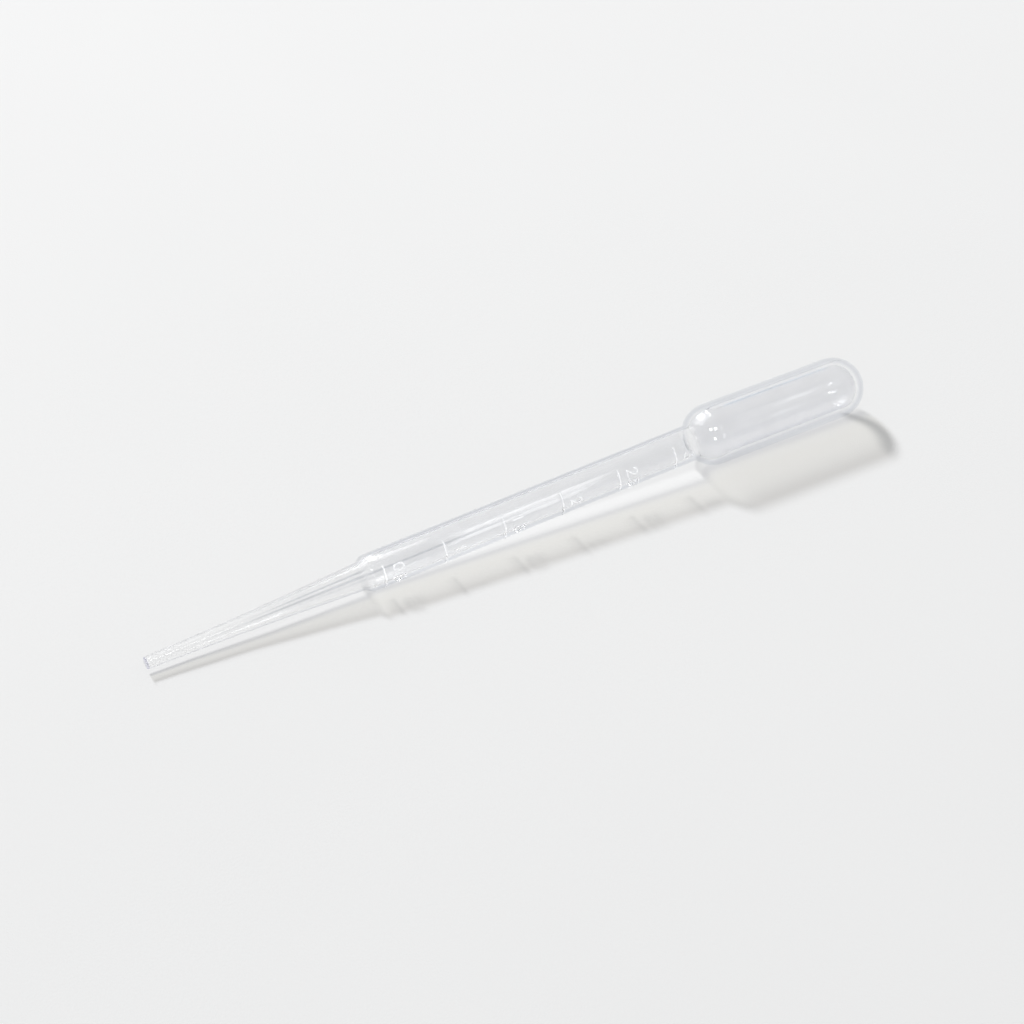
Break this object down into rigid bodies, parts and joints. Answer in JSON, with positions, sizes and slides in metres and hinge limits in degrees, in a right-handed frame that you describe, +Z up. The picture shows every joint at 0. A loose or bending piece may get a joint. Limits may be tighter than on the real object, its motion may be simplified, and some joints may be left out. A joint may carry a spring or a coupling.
{
  "type": "plastic dropper pipette",
  "caption": "Clear one-piece plastic transfer pipette with a squeeze bulb, a graduated stem and a drawn-out tip, lying on its side.",
  "frame": {"origin": "on the surface the pipette lies on, midway along its length and under its line", "axes": "+Z up from that surface, +X along the pipette from the tip towards the bulb, the graduations facing -Y"},
  "size_m": [0.16, 0.0128, 0.0128],
  "materials": {
    "clear_polyethylene": "clear low-density polyethylene, faintly blue and milky, smooth and glossy"
  },
  "bodies": {
    "root": {"dropper_pipette": "clear_polyethylene"}
  },
  "joints": []
}
